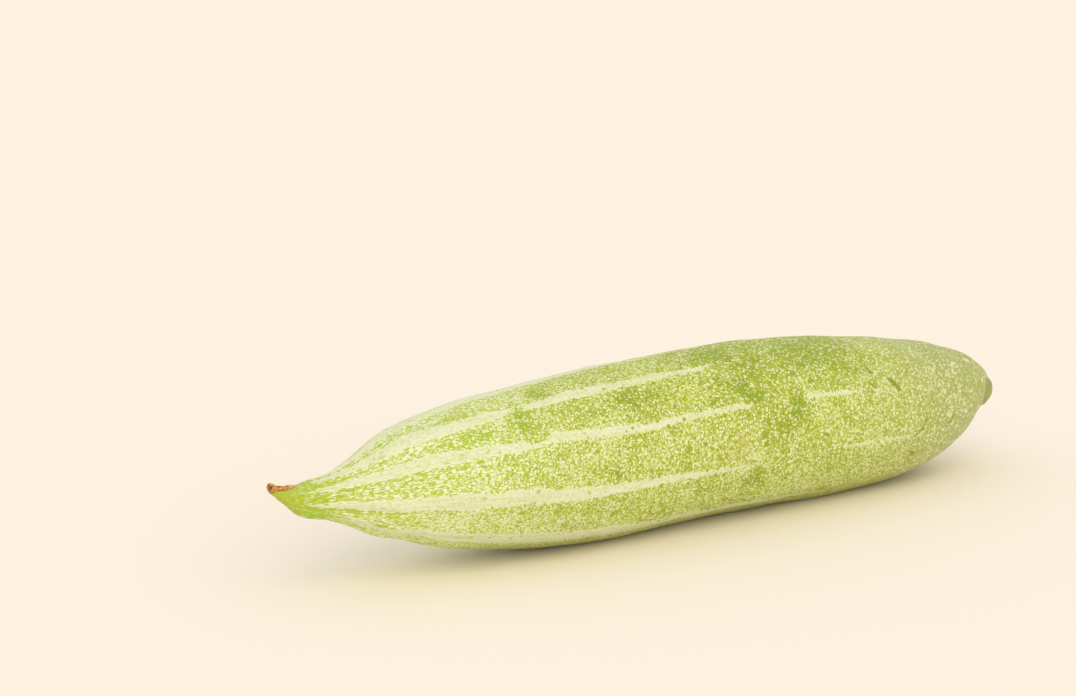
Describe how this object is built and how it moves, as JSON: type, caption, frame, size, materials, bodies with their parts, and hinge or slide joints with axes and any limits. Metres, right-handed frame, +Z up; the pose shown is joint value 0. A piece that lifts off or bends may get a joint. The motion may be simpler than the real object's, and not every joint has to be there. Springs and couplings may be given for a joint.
{
  "type": "snake gourd",
  "caption": "Whole picked snake gourd lying on its belly: a long green fruit with pale stripes and speckles, a tapered neck with a dried stem end, and a rounded blossom end.",
  "frame": {"origin": "centre of the underside of the part's box, on the surface that it lies on", "axes": "+X along the fruit from its stem end to its blossom end, +Z up from the surface that it lies on"},
  "size_m": [0.3, 0.0582, 0.0573],
  "materials": {
    "skin": "satin",
    "dried_stem": "matte"
  },
  "bodies": {
    "root": {"gourd": "skin", "stem_end": "dried_stem"}
  },
  "joints": []
}
